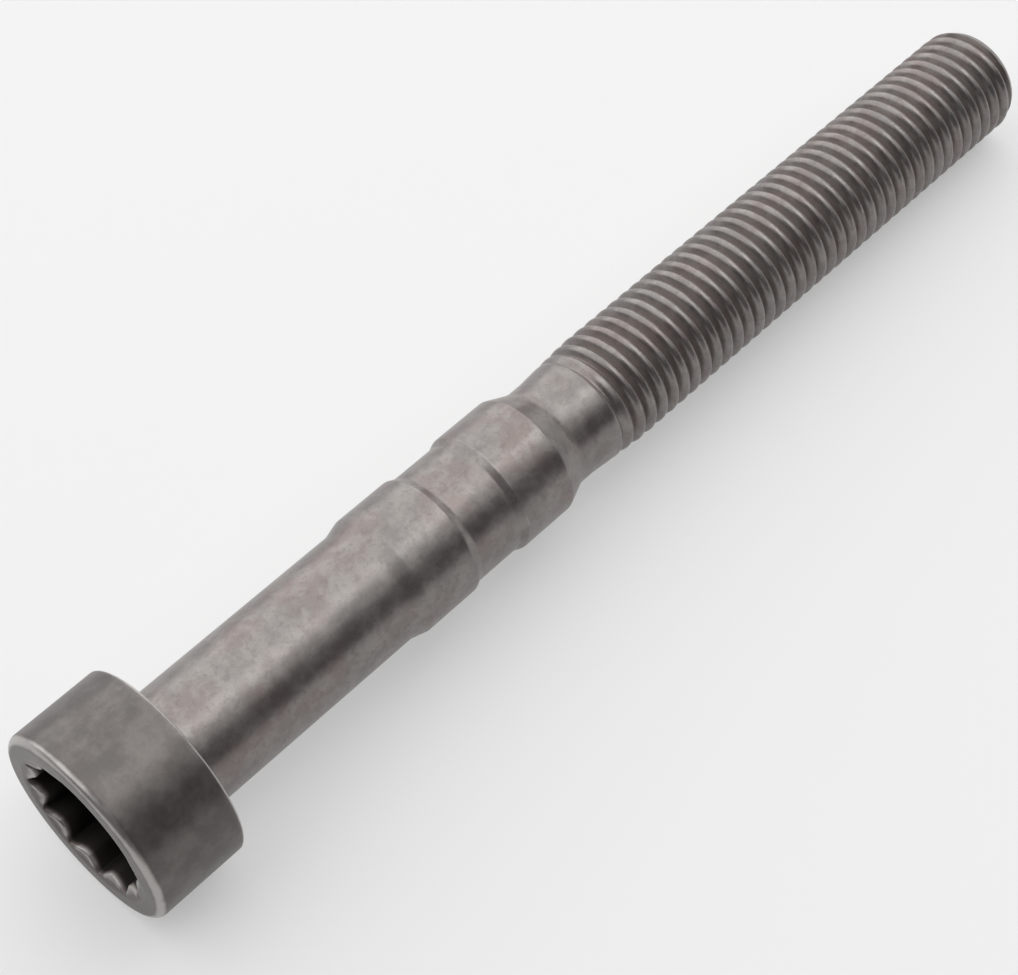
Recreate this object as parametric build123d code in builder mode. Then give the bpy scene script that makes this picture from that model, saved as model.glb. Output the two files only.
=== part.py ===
"""Rocker arm shaft bolt: one forged, turned and thread-rolled piece of steel.

The bolt lies on its side, as it does on a bench. Its axis is the X axis, the threaded
end points along +X, and the origin is the centre of the flat bearing face under the
head. Sizes are in millimetres and angles in degrees.
"""

import os
from math import radians, sqrt, tan

from build123d import *

# Cylindrical head
head_diameter = 18.4
head_height = 8.8
head_front_round = 0.8  # rounded edge round the socket's face
head_back_round = 0.3  # small rounded edge round the bearing face

# Twelve-point socket in the head: three squares, each turned 30 degrees from the last
socket_size = 14.0  # across two opposite corners
socket_tooth_gap = 11.8  # across two opposite tooth tips, which are blunt
socket_depth = 6.0
socket_corner_round = 0.25
socket_floor_slope = 12.0  # the punched floor is a shallow dish
mouth_margin = 0.2  # the lead-in starts this far outside the socket's corners
mouth_slope = 14.0  # of the lead-in, measured from the socket's face
socket_turn = -3.6  # of a socket corner from +Y towards +Z, as the bolt lies

# Thread, shown by its outer cylinder
thread_diameter = 11.0
thread_pitch = 1.5
thread_length = 55.2  # with the chamfered point
point_drop = 0.6  # the point's edge is this far inside the thread's outside
point_slope = 30.0  # of the point's chamfer, measured from the axis

# Plain shank under the head
shank_oversize = 0.1  # of the shank's diameter over the thread's
shank_length = 22.6
underhead_fillet = 0.6

# Two guide collars that centre the shaft, with a shallow relief between them
collar_rise = 0.45  # above the shank
collar_length = 5.5
lead_ramp_length = 1.6  # from the shank up to the first collar
relief_rise = 0.1  # of the relief's surface above the shank
relief_length = 4.7
relief_ramp_length = 0.8

# Neck between the second collar and the thread
neck_ramp_length = 2.4
neck_length = 1.8
runout_length = 6.0  # the gentle cone on which the thread runs out
ramp_round = 2.5  # hollow corners, where a ramp leaves a lower surface
crown_round = 0.7  # outer corners, where a ramp meets a higher surface

# A thread is rolled on a blank of its pitch diameter, which the neck still shows
PITCH_DIAMETER_DROP = 0.6495  # for a 60 degree thread, in pitches

shank_diameter = thread_diameter + shank_oversize
blank_diameter = thread_diameter - PITCH_DIAMETER_DROP * thread_pitch
thread_radius = thread_diameter / 2
shank_radius = shank_diameter / 2
collar_radius = shank_radius + collar_rise
relief_radius = shank_radius + relief_rise
neck_radius = blank_diameter / 2
head_radius = head_diameter / 2
point_radius = thread_radius - point_drop
point_length = point_drop / tan(radians(point_slope))

# The shaft's stretches from the bearing face to the tip. Each has its length, the
# radius where it ends, and the rounding of the corner there.
shaft_stretches = [
    (shank_length, shank_radius, ramp_round),
    (lead_ramp_length, collar_radius, crown_round),
    (collar_length, collar_radius, crown_round),
    (relief_ramp_length, relief_radius, crown_round),
    (relief_length, relief_radius, crown_round),
    (relief_ramp_length, collar_radius, crown_round),
    (collar_length, collar_radius, crown_round),
    (neck_ramp_length, neck_radius, ramp_round),
    (neck_length, neck_radius, ramp_round),
    (runout_length, thread_radius, ramp_round),
    (thread_length - point_length, thread_radius, 0),
]

outline = [(-head_height, 0), (-head_height, head_radius), (0, head_radius), (0, shank_radius)]
corner_rounds = [head_front_round, head_back_round, underhead_fillet]
distance = 0
for length, radius, corner_round in shaft_stretches:
    distance += length
    outline.append((distance, radius))
    corner_rounds.append(corner_round)
tip = distance + point_length
outline.append((tip, point_radius))

with BuildPart() as bolt:
    # Turned body: half of its section, turned once round the axis
    with BuildSketch(Plane.XY):
        with BuildLine():
            FilletPolyline(*outline, radius=corner_rounds)
            Polyline((tip, point_radius), (tip, 0), (-head_height, 0))
        make_face()
    revolve(axis=Axis.X)

    # Punched socket: three turned squares, and a circle that blunts the teeth between them
    with BuildSketch(Plane.YZ.offset(-head_height)) as socket_outline:
        with PolarLocations(0, 3, start_angle=socket_turn + 45, angular_range=90):
            Rectangle(socket_size / sqrt(2), socket_size / sqrt(2))
        corners = socket_outline.vertices().sort_by_distance((0, 0, 0))[-12:]
        fillet(corners, socket_corner_round)
        Circle(socket_tooth_gap / 2)
    extrude(amount=socket_depth, mode=Mode.SUBTRACT)

    # Lead-in at the mouth: a flat cone that cuts the teeth's front ends back
    mouth_radius = socket_size / 2 + mouth_margin
    with BuildSketch(Plane.XY):
        with BuildLine():
            Polyline(
                (-head_height, 0),
                (-head_height, mouth_radius),
                (-head_height + mouth_radius * tan(radians(mouth_slope)), 0),
                close=True,
            )
        make_face()
    revolve(axis=Axis.X, mode=Mode.SUBTRACT)

    # Dished floor, inside the tooth tips
    floor_radius = socket_tooth_gap / 2
    floor = socket_depth - head_height
    with BuildSketch(Plane.XY):
        with BuildLine():
            Polyline(
                (floor, 0),
                (floor, floor_radius),
                (floor + floor_radius * tan(radians(socket_floor_slope)), 0),
                close=True,
            )
        make_face()
    revolve(axis=Axis.X, mode=Mode.SUBTRACT)

bolt.part.label = "bolt"

os.makedirs("parts", exist_ok=True)
export_step(bolt.part, "parts/bolt.step")
print("length under the head", round(tip, 2), "with the head", round(tip + head_height, 2))
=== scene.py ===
"""Rocker arm shaft bolt, dressed for its picture.

The bolt lies on a pale floor, as it comes to rest on the edge of its head and on the
last turns of its thread. Its axis is the X axis, its tip points along +X, and the centre
of its bearing face is the origin. Sizes of the bolt are in millimetres and are turned
into metres where its mesh is made.
"""

from math import cos, pi, radians, sin, sqrt, tan

import bmesh
import bpy
import numpy as np
from mathutils import Matrix, Vector


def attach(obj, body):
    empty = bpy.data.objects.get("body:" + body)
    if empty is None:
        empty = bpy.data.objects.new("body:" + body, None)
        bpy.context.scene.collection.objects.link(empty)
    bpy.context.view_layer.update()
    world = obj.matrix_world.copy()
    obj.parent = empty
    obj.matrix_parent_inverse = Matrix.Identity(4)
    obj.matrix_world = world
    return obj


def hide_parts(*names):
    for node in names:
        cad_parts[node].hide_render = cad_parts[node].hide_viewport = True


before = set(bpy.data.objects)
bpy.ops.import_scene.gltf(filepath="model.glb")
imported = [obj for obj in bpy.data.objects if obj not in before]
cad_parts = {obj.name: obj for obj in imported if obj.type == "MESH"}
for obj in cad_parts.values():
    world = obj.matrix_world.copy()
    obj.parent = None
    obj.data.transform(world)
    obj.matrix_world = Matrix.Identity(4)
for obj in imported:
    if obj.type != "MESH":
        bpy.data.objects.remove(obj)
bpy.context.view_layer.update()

# The bolt
# One piece of alloy steel. The head is cold forged and its twelve-point socket is punched
# in, the shaft is turned, and the thread is rolled on last. A thin phosphate coat covers
# all of it, and is rubbed through to bright steel along the edges.

MM = 0.001  # metres

HEAD_RADIUS = 9.2
HEAD_HEIGHT = 8.8
HEAD_FRONT_ROUND = 0.8
HEAD_BACK_ROUND = 0.3

SOCKET_CORNER = 7.0  # from the axis to a corner of the socket
SOCKET_TOOTH = 5.9  # from the axis to the blunt tip of a tooth
SOCKET_DEPTH = 6.0
SOCKET_CORNER_ROUND = 0.25
SOCKET_TURN = radians(-3.6)  # of a corner from +Y towards +Z
FLOOR_SLOPE = radians(12)  # of the punched floor, a shallow dish
MOUTH_RADIUS = 7.2
MOUTH_SLOPE = radians(14)  # of the lead-in that cuts the teeth's front ends back
TOOTH_EDGE = 0.16  # broken edge where a tooth's side meets its front end
CORNER_EDGE = 0.25  # the corners between the teeth have this share of that edge
TOOTH_REACH = 0.6  # a wall this far inside the corners belongs to a tooth
FACE_INSET = 0.4  # the turned outline starts this far outside the mouth
SOCKET_SHADE_HOLLOW = 2.0  # how hollow the socket's floor and wall count, where a groove counts 1; it paints shade there

UNDERHEAD_FILLET = 0.6
SHANK_RADIUS = 5.55
COLLAR_RADIUS = 6.0
RELIEF_RADIUS = 5.65
THREAD_RADIUS = 5.5
THREAD_PITCH = 1.5
THREAD_LENGTH = 55.2  # with the chamfered point
PITCH_DROP = 0.6495  # the pitch diameter is this many pitches less than the outside one
NECK_RADIUS = THREAD_RADIUS - PITCH_DROP * THREAD_PITCH / 2  # the blank, before rolling
POINT_RADIUS = 4.9
POINT_SLOPE = radians(30)  # of the point's chamfer, measured from the axis
POINT_LENGTH = (THREAD_RADIUS - POINT_RADIUS) / tan(POINT_SLOPE)

COLUMNS = 144  # round the axis, twelve for each point of the socket
ARC_STEPS = 7  # points on each rounded corner
STEADY = 0.12  # a row this far from a rounded corner keeps the flat beside it flat
FULL_BEND = 0.9  # radians; a corner that turns this much is rubbed or hollow in full

turn = SOCKET_TURN + np.linspace(0, 2 * pi, COLUMNS + 1)


def socket_directions():
    """Where the socket's columns stand round the axis. Each half point has six columns,
    crowded at its rounded corner and at the edge of its tooth, and the next half point
    mirrors them."""
    half = np.radians([0, 0.75, 1.6, 6.5, 11.6, 12.5, 15])
    point = np.concatenate([half, 2 * half[-1] - half[-2::-1]])
    spread = np.interp(np.arange(COLUMNS + 1) % 12, np.arange(13), point)
    return SOCKET_TURN + radians(30) * (np.arange(COLUMNS + 1) // 12) + spread


def socket_radius(direction):
    """Distance from the axis to the socket's wall. A side is a straight line, so it is its
    own distance from the axis over the cosine of the angle from its middle, and its middle
    lies 45 degrees from the corner. Near the corner it is the far side of a small circle
    that touches both sides, and it is never less than a tooth's radius."""
    from_corner = np.abs((direction - SOCKET_TURN + radians(15)) % radians(30) - radians(15))
    side = SOCKET_CORNER * cos(pi / 4) / np.cos(pi / 4 - from_corner)
    centre = SOCKET_CORNER - SOCKET_CORNER_ROUND * sqrt(2)
    reach = SOCKET_CORNER_ROUND**2 - (centre * np.sin(from_corner)) ** 2
    corner = centre * np.cos(from_corner) + np.sqrt(np.maximum(reach, 0))
    rounded_off = from_corner < np.arctan2(
        SOCKET_CORNER_ROUND * sin(pi / 4), centre + SOCKET_CORNER_ROUND * cos(pi / 4)
    )
    return np.maximum(np.where(rounded_off, corner, side), SOCKET_TOOTH)


def socket_rows():
    """The inside of the head as rows of (station, radius, direction, rubbed, hollow), from
    the middle of the dished floor, up the wall, over the teeth's front ends to the mouth.
    Depths are measured from the socket's face. The floor and the teeth's front ends lie on
    cones, each deeper by the tangent of its slope for each millimetre inwards."""
    direction = socket_directions()
    wall = socket_radius(direction)
    level = np.ones_like(wall)
    # Hollow values above 1 on the floor and wall paint shade, nearly black, into the socket
    floor = [
        (level * radius, SOCKET_DEPTH + (SOCKET_TOOTH - radius) * tan(FLOOR_SLOPE), SOCKET_SHADE_HOLLOW)
        for radius in (0, 1.2, 2.6, 4.0, 5.2, SOCKET_TOOTH - STEADY)
    ]
    lead_in = (MOUTH_RADIUS - wall) * tan(MOUTH_SLOPE)
    tooth = (wall < SOCKET_CORNER - TOOTH_REACH).astype(float)
    edge = TOOTH_EDGE * (CORNER_EDGE + (1 - CORNER_EDGE) * tooth)
    out = wall + edge
    rows = floor + [
        # The floor's flat outer ring, in the corners between the teeth
        (np.minimum(wall, SOCKET_TOOTH), SOCKET_DEPTH * level, SOCKET_SHADE_HOLLOW),
        (wall - 0.05, SOCKET_DEPTH * level, SOCKET_SHADE_HOLLOW),
        # The wall, with painted shade that thins towards the mouth
        (wall, (SOCKET_DEPTH - 0.1) * level, SOCKET_SHADE_HOLLOW),
        (wall, (SOCKET_DEPTH - 0.5) * level, SOCKET_SHADE_HOLLOW),
        (wall, (SOCKET_DEPTH / 2) * level, 1.9),
        (wall, lead_in + edge + 0.5, 1.75),
        (wall, lead_in + edge, 1.2),
        # The broken edge goes on from the wall's last row and ends on the teeth's fronts
        (wall + 0.30 * edge, lead_in + 0.34 * edge, 0.0),
        (out, (MOUTH_RADIUS - out) * tan(MOUTH_SLOPE), 0.0),
        # The edge of the mouth, eased into the head's face
        (np.maximum(out, MOUTH_RADIUS - 0.15), np.minimum(lead_in, 0.045), 0.0),
        (level * MOUTH_RADIUS, 0.012 * level, 0.0),
        (level * (MOUTH_RADIUS + 0.1), 0 * level, 0.0),
    ]
    radius = np.array([row[0] * level for row in rows])
    depth = np.array([row[1] * level for row in rows])
    hollow = np.array([row[2] * level for row in rows])
    # Wear shows on the teeth's broken edges, and faintly round the mouth
    rubbed = np.zeros_like(radius)
    rubbed[-6:-3] = 0.8 * tooth
    rubbed[-2:] = 0.35
    return depth - HEAD_HEIGHT, radius, direction * np.ones_like(radius), rubbed, hollow


def rounded(corners, rounds):
    """A half-section's outline with every corner between its two ends rounded. The arc at a
    corner starts short of it by the arc's radius times the tangent of half the turn there,
    and its points are the centre plus the radius turned step by step from the first line to
    the second. A row just outside each end of the arc keeps the flats flat. Each point also
    gets how far it is rubbed, on a corner that stands out, or hollow, in one that lies in."""
    corners, size = np.array(corners, float), np.array(rounds, float)[:, None]
    step = np.diff(corners, axis=0)
    step /= np.linalg.norm(step, axis=1, keepdims=True)
    first, second, corner = step[:-1], step[1:], corners[1:-1]
    bend = np.arctan2(
        first[:, 0] * second[:, 1] - first[:, 1] * second[:, 0], (first * second).sum(1)
    )[:, None]
    start = corner - first * size * np.tan(np.abs(bend) / 2)
    end = corner + second * size * np.tan(np.abs(bend) / 2)
    inward = np.stack([-first[:, 1], first[:, 0]], 1) * np.sign(bend)
    share = np.linspace(0, 1, ARC_STEPS)
    angle = bend * share
    back = -inward * size
    arc = (start - back)[:, None] + np.stack([
        back[:, :1] * np.cos(angle) - back[:, 1:] * np.sin(angle),
        back[:, :1] * np.sin(angle) + back[:, 1:] * np.cos(angle),
    ], 2)
    rows = np.concatenate(
        [(start - first * STEADY)[:, None], arc, (end + second * STEADY)[:, None]], 1
    )
    hump = np.concatenate([[0], np.sin(pi * share), [0]])
    hump = hump * np.minimum(np.abs(bend) / FULL_BEND, 1)
    points = np.concatenate([corners[:1], rows.reshape(-1, 2), corners[-1:]])
    rubbed = np.concatenate([[0], (hump * (bend < 0)).ravel(), [0]])
    hollow = np.concatenate([[0], (hump * (bend > 0)).ravel(), [0]])
    return points[:, 0], points[:, 1], rubbed, hollow


RAMP_ROUND = 2.5  # hollow corners, where a ramp leaves a lower surface
CROWN_ROUND = 0.7  # outer corners, where a ramp meets a higher surface

# The shaft's stretches, each with its length, its end radius and the rounding there
stretches = [
    (22.6, SHANK_RADIUS, RAMP_ROUND),  # plain shank
    (1.6, COLLAR_RADIUS, CROWN_ROUND),  # ramp up to the first collar
    (5.5, COLLAR_RADIUS, CROWN_ROUND),
    (0.8, RELIEF_RADIUS, CROWN_ROUND),  # into the shallow relief between the collars
    (4.7, RELIEF_RADIUS, CROWN_ROUND),
    (0.8, COLLAR_RADIUS, CROWN_ROUND),
    (5.5, COLLAR_RADIUS, CROWN_ROUND),  # second collar
    (2.4, NECK_RADIUS, RAMP_ROUND),  # ramp down to the neck
    (1.8, NECK_RADIUS, RAMP_ROUND),
    (6.0, THREAD_RADIUS, RAMP_ROUND),  # gentle cone on which the thread runs out
    (THREAD_LENGTH - POINT_LENGTH, THREAD_RADIUS, 0),
    (POINT_LENGTH, POINT_RADIUS, 0.3),  # chamfered point
]
stations = np.cumsum([length for length, _, _ in stretches])
tip = stations[-1]
outline = [(-HEAD_HEIGHT, MOUTH_RADIUS + FACE_INSET), (-HEAD_HEIGHT, HEAD_RADIUS),
           (0, HEAD_RADIUS), (0, SHANK_RADIUS)]
outline += [(x, radius) for x, (_, radius, _) in zip(stations, stretches)]
outline += [(tip, 0)]
corner_rounds = [HEAD_FRONT_ROUND, HEAD_BACK_ROUND, UNDERHEAD_FILLET]
corner_rounds += [size for _, _, size in stretches]
turned = rounded(outline, corner_rounds)
shaft_from = 3 * (ARC_STEPS + 2) + 1  # the first row past the head's three corners
point_edge = len(turned[0]) - ARC_STEPS - 2  # the row where the point's last arc starts

# The thread's own section from one crest to the next: how far along, and how deep there
THREAD_DEPTH = 0.78
crest_side = np.array([0, 0.13, 0.24, 0.34, 0.44, 0.59, 0.67])
crest_side_depth = np.array([0, 0.018, 0.068, 0.155, 0.285, 0.565, 0.70])
thread_along = np.concatenate([crest_side, [0.75], THREAD_PITCH - crest_side[:0:-1]])
thread_deep = np.concatenate([crest_side_depth, [THREAD_DEPTH], crest_side_depth[:0:-1]])

THREAD_START = 47.6  # the first trace of a groove, on the run-out cone
THREAD_FULL = 51.2  # the grooves have their whole depth from here
CONE_END = THREAD_FULL + 2  # up to here a groove is cut from the cone's own surface
FADE_START = 105.8  # the last groove grows shallow from here to the point's edge
FADE_DEPTH = 0.5  # and is no deeper than this there
CREST_DEPTH = 0.1  # what lies less deep than this is crest, and gets rubbed
CREST_RUB = 0.35
TIP_FILM = 0.4  # share of the brown film that the last groove keeps


def thread_rows(start, end):
    """The rolled thread as rows of (station, radius, direction, rubbed, hollow). The rows
    follow the right-hand helix: a row's station is its own plus the pitch times its share
    of a turn, and is held between the two ends. The first row stands just short of the
    start, where the cone is still plain. The radius is the turned outline's less the
    groove's depth, which grows in along the run-out cone, and near the tip it is the lesser
    of the outline and the groove."""
    turns = int(np.ceil((end - start) / THREAD_PITCH)) + 1
    own = start - THREAD_PITCH + np.add.outer(np.arange(turns + 1) * THREAD_PITCH, thread_along)
    deep = np.concatenate([[0], np.tile(thread_deep, turns + 1)])[:, None]
    direction = turn * np.ones_like(deep)
    x = own.reshape(-1, 1) + THREAD_PITCH * np.linspace(0, 1, COLUMNS + 1)
    x = np.vstack([np.full(COLUMNS + 1, start - STEADY), np.clip(x, start, end)])
    share = np.clip((x - start) / (THREAD_FULL - start), 0, 1)
    grown = share**2 * (3 - 2 * share)
    left = np.clip((end - x) / (end - FADE_START), 0, 1)
    shaft_x, shaft_radius = (values[shaft_from:point_edge + 1] for values in turned[:2])
    skin = np.interp(x, shaft_x, shaft_radius)
    groove = np.where(x < CONE_END, skin, THREAD_RADIUS) - deep * grown
    groove += np.maximum(deep - FADE_DEPTH, 0) * (1 - left) * grown
    radius = np.minimum(skin, groove)
    crest = np.clip(1 - deep / CREST_DEPTH, 0, 1) * (radius > skin - 0.02)
    rubbed = CREST_RUB * crest * grown * left
    hollow = deep / THREAD_DEPTH * grown * (TIP_FILM + (1 - TIP_FILM) * left)
    return x, radius, direction, rubbed, hollow


def turned_rows(keep):
    """The rows of the turned outline that `keep` picks, each the same all round."""
    level = np.ones(COLUMNS + 1)
    x, radius, rubbed, hollow = (np.outer(values[keep], level) for values in turned)
    return x, radius, turn * np.ones_like(x), rubbed, hollow


places = np.arange(len(turned[0]))
thread_end = turned[0][point_edge]
blocks = [
    socket_rows(),
    turned_rows((turned[0] < THREAD_START - STEADY) & (places < point_edge)),
    thread_rows(THREAD_START, thread_end),
    turned_rows(places >= point_edge),
]
x, radius, direction, rubbed, hollow = (np.concatenate(part) for part in zip(*blocks))
points = np.stack([x, radius * np.cos(direction), radius * np.sin(direction)], 2) * MM

rows = len(x)
corner = np.arange(rows * (COLUMNS + 1)).reshape(rows, COLUMNS + 1)
faces = np.stack([corner[:-1, :-1], corner[:-1, 1:], corner[1:, 1:], corner[1:, :-1]], 2)

mesh = bpy.data.meshes.new("bolt_dressed")
mesh.from_pydata(points.reshape(-1, 3), [], faces.reshape(-1, 4))
for name, values in (("rubbed", rubbed), ("hollow", hollow)):
    mesh.attributes.new(name, "FLOAT", "POINT").data.foreach_set("value", values.ravel())

# The grid's first and last columns, the helix's seam and the two poles close here
closing = bmesh.new()
closing.from_mesh(mesh)
bmesh.ops.remove_doubles(closing, verts=closing.verts, dist=0.0005 * MM)
bmesh.ops.recalc_face_normals(closing, faces=closing.faces)
closing.to_mesh(mesh)
closing.free()
mesh.shade_smooth()
mesh.set_sharp_from_angle(angle=radians(38))

bolt = bpy.data.objects.new("bolt_dressed", mesh)
bpy.context.scene.collection.objects.link(bolt)


class Shade:
    """One output of a node. Python arithmetic on it adds Math nodes."""

    def __init__(self, tree, output=None):
        self.tree = tree
        self.output = output

    def node(self, kind, settings, inputs, output=0):
        """A new node of this kind. Its settings come first, then its sockets' values or
        links, by name or number."""
        made = self.tree.nodes.new(kind)
        for name, value in settings.items():
            setattr(made, name, value)
        for name, value in inputs.items():
            if isinstance(value, Shade):
                self.tree.links.new(value.output, made.inputs[name])
            else:
                made.inputs[name].default_value = value
        return Shade(self.tree, made.outputs[output] if made.outputs else None)

    def math(self, operation, first, second):
        return self.node("ShaderNodeMath", {"operation": operation}, {0: first, 1: second})

    def __add__(self, other):
        return self.math("ADD", self, other)

    __radd__ = __add__

    def __sub__(self, other):
        return self.math("SUBTRACT", self, other)

    def __rsub__(self, other):
        return self.math("SUBTRACT", other, self)

    def __mul__(self, other):
        return self.math("MULTIPLY", self, other)

    __rmul__ = __mul__


GREY_COAT = (0.212, 0.198, 0.190, 1)
BROWN_COAT = (0.226, 0.189, 0.180, 1)
PALE_CLOUDS = (0.270, 0.249, 0.238, 1)
DARK_SPECKS = (0.155, 0.140, 0.133, 1)
DARK_GRAIN = (0.142, 0.130, 0.124, 1)
FORGED_DARK = (0.094, 0.086, 0.082, 1)
FORGED_PALE = (0.136, 0.124, 0.118, 1)
BROWN_FILM = (0.270, 0.222, 0.206, 1)
# The socket's painted shade
PAINTED_SOCKET_SHADE = (0.014, 0.013, 0.012, 1)
BRIGHT_STEEL = (0.50, 0.48, 0.46, 1)


def phosphated_steel():
    """Dark satin phosphate on steel: soft blotches from grey to a pinkish brown, a fine
    crystal grain, faint turning lines round the shaft, brown film in the hollows, and
    bright steel where edges are rubbed. The forged head is darker and duller, with clouds
    of its own. The socket's floor and wall are painted nearly black, painted shade that
    thins away near the mouth."""
    material = bpy.data.materials.new("phosphated_steel")
    material.use_nodes = True
    material.node_tree.nodes.clear()
    here = Shade(material.node_tree)
    place = here.node("ShaderNodeTexCoord", {}, {}, "Object")

    def noise(scale, detail, roughness=0.5, vector=place):
        return here.node(
            "ShaderNodeTexNoise", {},
            {"Vector": vector, "Scale": scale, "Detail": detail, "Roughness": roughness},
        )

    def band(value, low, high, to_low=0.0, to_high=1.0):
        return here.node(
            "ShaderNodeMapRange", {"interpolation_type": "SMOOTHSTEP"},
            {"Value": value, "From Min": low, "From Max": high, "To Min": to_low,
             "To Max": to_high},
        )

    def mix(share, first, second):
        return here.node(
            "ShaderNodeMix", {"data_type": "RGBA"}, {0: share, 6: first, 7: second}, 2
        )

    def attribute(name):
        return here.node("ShaderNodeAttribute", {"attribute_name": name}, {}, "Fac")

    blotch = band(noise(210, 3, 0.55), 0.36, 0.66)
    cloud = noise(620, 4, 0.6)
    speck = noise(1700, 3, 0.6)
    grain = noise(7000, 2)
    along = here.node("ShaderNodeMapping", {}, {"Vector": place, "Scale": (3400, 50, 50)})
    lines = noise(1.0, 3, 0.6, along)
    worn = band(attribute("rubbed") * (0.55 + 0.9 * cloud), 0.25, 0.95)
    film = band(attribute("hollow") + 0.35 * (cloud - 0.5), 0.2, 1.0)
    station = here.node("ShaderNodeSeparateXYZ", {}, {"Vector": place}, "X")
    forged = band(station, -0.0006, 0.0004, 1.0, 0.0)
    # Painted shade: the socket's floor and wall, where hollow runs above 1.1
    socket_shade = band(attribute("hollow"), 1.1, 1.9)

    colour = mix(blotch, GREY_COAT, BROWN_COAT)
    colour = mix(band(cloud, 0.40, 0.64), colour, PALE_CLOUDS)
    colour = mix(band(speck, 0.50, 0.70, 0.0, 0.45), colour, DARK_SPECKS)
    colour = mix(band(grain, 0.52, 0.75, 0.0, 0.35), colour, DARK_GRAIN)
    scale = band(cloud + 0.2 * (blotch - 0.5), 0.32, 0.70)
    colour = mix(forged * 0.8, colour, mix(scale, FORGED_DARK, FORGED_PALE))
    colour = mix(film * 0.7, colour, BROWN_FILM)
    # Painted shade: the socket is painted nearly black
    colour = mix(socket_shade * 0.95, colour, PAINTED_SOCKET_SHADE)
    colour = mix(worn * 0.8, colour, BRIGHT_STEEL)

    rough = 0.21 + 0.12 * cloud + 0.08 * grain + 0.05 * lines
    rough = rough + 0.10 * film + 0.06 * forged + 0.25 * socket_shade - 0.06 * worn
    height = 0.0000012 * grain + 0.000004 * cloud + 0.0000036 * lines
    bump = here.node(
        "ShaderNodeBump", {}, {"Height": height, "Strength": 0.6, "Distance": 1.0}
    )
    steel = here.node(
        "ShaderNodeBsdfPrincipled", {},
        {"Base Color": colour, "Metallic": 0.8 - 0.35 * film + 0.35 * socket_shade,
         "Roughness": rough, "Normal": bump},
    )
    here.node("ShaderNodeOutputMaterial", {}, {"Surface": steel})
    return material


mesh.materials.append(phosphated_steel())
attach(bolt, "root")
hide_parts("bolt")

# The floor
# A plain pale sheet. The bolt rests on the back edge of its head and on its last thread,
# so the sheet slopes up by two degrees towards the tip.

REST_BACK = (-HEAD_BACK_ROUND, -HEAD_RADIUS)
REST_TIP = (tip - POINT_LENGTH, -THREAD_RADIUS)
FLOOR_SIZE = 6.0  # metres
floor_slope = np.arctan2(REST_TIP[1] - REST_BACK[1], REST_TIP[0] - REST_BACK[0])

half_floor = FLOOR_SIZE / 2
floor_mesh = bpy.data.meshes.new("floor")
floor_mesh.from_pydata(
    [(-half_floor, -half_floor, 0), (half_floor, -half_floor, 0),
     (half_floor, half_floor, 0), (-half_floor, half_floor, 0)], [], [(0, 1, 2, 3)]
)
floor_mesh.transform(
    Matrix.Translation(Vector((REST_BACK[0], 0, REST_BACK[1])) * MM)
    @ Matrix.Rotation(-floor_slope, 4, "Y")
)
floor = bpy.data.objects.new("floor", floor_mesh)
bpy.context.scene.collection.objects.link(floor)

PAPER = 0.44
PAPER_LIFT = 0.38  # brings the lit paper up to white where it is looked at

paper = bpy.data.materials.new("pale_paper")
paper.use_nodes = True
paper.node_tree.nodes.clear()
sheet = Shade(paper.node_tree)
seen = sheet.node("ShaderNodeLightPath", {}, {}, "Is Camera Ray")
mirrored = sheet.node("ShaderNodeLightPath", {}, {}, "Is Glossy Ray")
through = sheet.node("ShaderNodeLightPath", {}, {}, "Is Transmission Ray")
matt = sheet.node("ShaderNodeBsdfDiffuse", {}, {"Color": (PAPER, PAPER, PAPER, 1)})
lift = sheet.node(
    "ShaderNodeEmission", {}, {"Strength": PAPER_LIFT * (seen + mirrored + through)}
)
both = sheet.node("ShaderNodeAddShader", {}, {0: matt, 1: lift})
sheet.node("ShaderNodeOutputMaterial", {}, {"Surface": both})
floor_mesh.materials.append(paper)

# The camera
# It looks down along the bolt from the head's side.

CAMERA_AIM = Vector((39.72, 0.0, -2.76)) * MM
CAMERA_DISTANCE = 0.1989  # metres
CAMERA_HEADING = radians(43.46)  # from +X towards +Y
CAMERA_ELEVATION = radians(54.04)  # above the horizon
CAMERA_LENS = 79.7  # millimetres
SENSOR_WIDTH = 36

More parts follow.
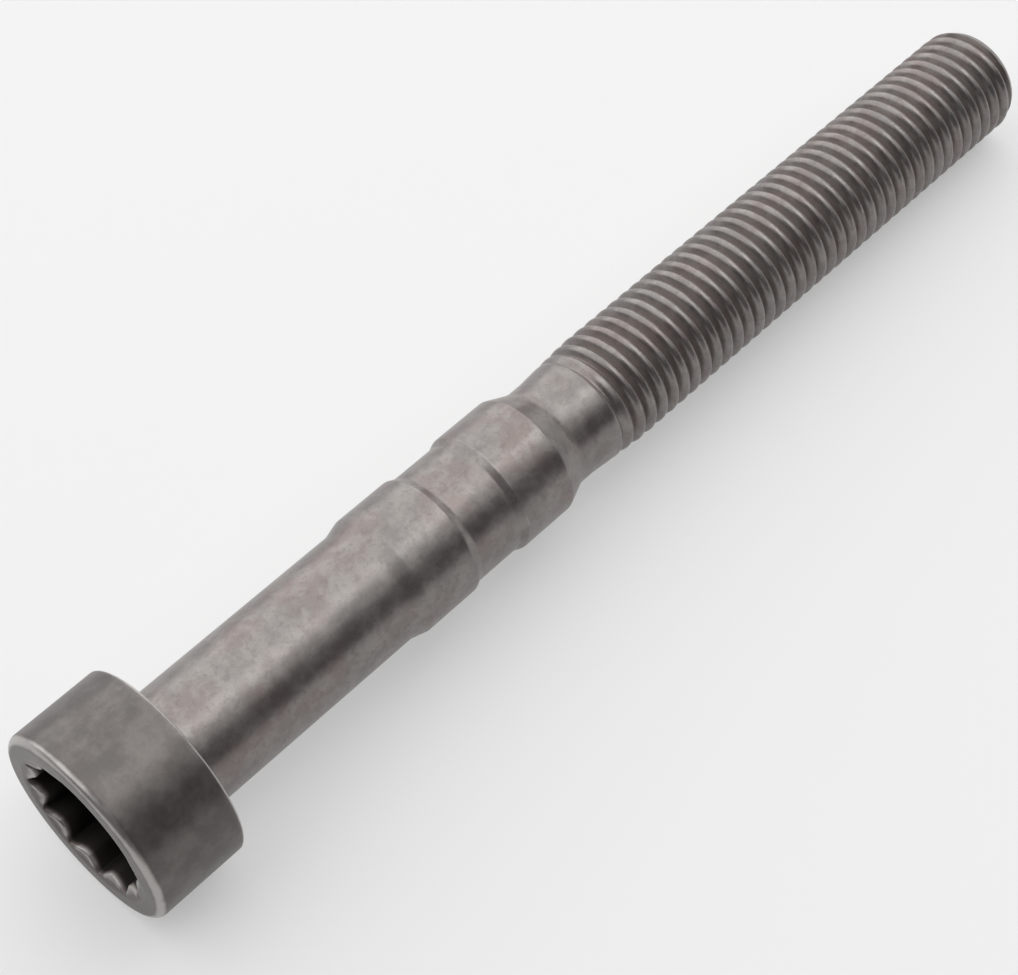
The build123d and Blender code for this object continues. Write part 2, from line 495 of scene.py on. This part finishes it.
ahead = Vector((
    cos(CAMERA_ELEVATION) * cos(CAMERA_HEADING),
    cos(CAMERA_ELEVATION) * sin(CAMERA_HEADING),
    -sin(CAMERA_ELEVATION),
))
camera_data = bpy.data.cameras.new("camera")
camera_data.sensor_width = SENSOR_WIDTH
camera_data.lens = CAMERA_LENS
camera_data.clip_start, camera_data.clip_end = 0.01, 20
camera = bpy.data.objects.new("camera", camera_data)
camera.matrix_world = (
    Matrix.Translation(CAMERA_AIM - CAMERA_DISTANCE * ahead)
    @ ahead.to_track_quat("-Z", "Y").to_matrix().to_4x4()
)
bpy.context.scene.collection.objects.link(camera)
bpy.context.scene.camera = camera
bpy.context.scene.view_settings.view_transform = "Standard"

# The light
# Long soft boxes lie along the bolt: a narrow bright one overhead, a wide one behind, a
# narrow one low down behind, and a dim one in front. A small one stands beyond the tip.
# The room itself is dim, so that the bolt's lower side falls darker.

LAMP_DISTANCE = 0.9  # metres, from the bolt's axis
ROOM_LEVEL = 0.06


def soft_box(name, place, facing, width, height, radiance):
    """A rectangular lamp at a place, looking one way. A lamp of power P and area A shows a
    radiance of P over pi times A."""
    lamp = bpy.data.lights.new(name, "AREA")
    lamp.shape = "RECTANGLE"
    lamp.size, lamp.size_y = width, height
    lamp.energy = radiance * pi * width * height
    holder = bpy.data.objects.new(name, lamp)
    holder.matrix_world = (
        Matrix.Translation(place) @ facing.to_track_quat("-Z", "Y").to_matrix().to_4x4()
    )
    bpy.context.scene.collection.objects.link(holder)


def long_box(name, back, spread, reach, radiance):
    """A soft box that lies along the bolt. It is seen from the axis this many degrees
    behind the camera's side of the shaft, with its edges the spread to each side, and it
    reaches from one place to another along the axis, in metres."""
    square = (Vector((ahead.x, 0, 0)) - ahead).normalized()
    away = Matrix.Rotation(-radians(back), 3, "X") @ square
    place = LAMP_DISTANCE * away + Vector((sum(reach) / 2, 0, 0))
    height = 2 * LAMP_DISTANCE * tan(radians(spread))
    soft_box(name, place, -away, reach[1] - reach[0], height, radiance)


long_box("overhead", 13, 9, (-0.2, 1.1), 2.5)
long_box("front", -8, 12, (-0.2, 1.1), 0.85)
long_box("behind", 56, 34, (-1.4, 1.5), 1.55)
long_box("low behind", 101, 11, (-0.5, 1.2), 1.9)
soft_box("beyond the tip", Vector((1.4, 0, 0.3)), Vector((-1, 0, -0.2)), 1.2, 0.55, 1.0)

world = bpy.data.worlds.new("room")
world.use_nodes = True
world.node_tree.nodes["Background"].inputs["Color"].default_value = (1, 1, 1, 1)
world.node_tree.nodes["Background"].inputs["Strength"].default_value = ROOM_LEVEL
bpy.context.scene.world = world
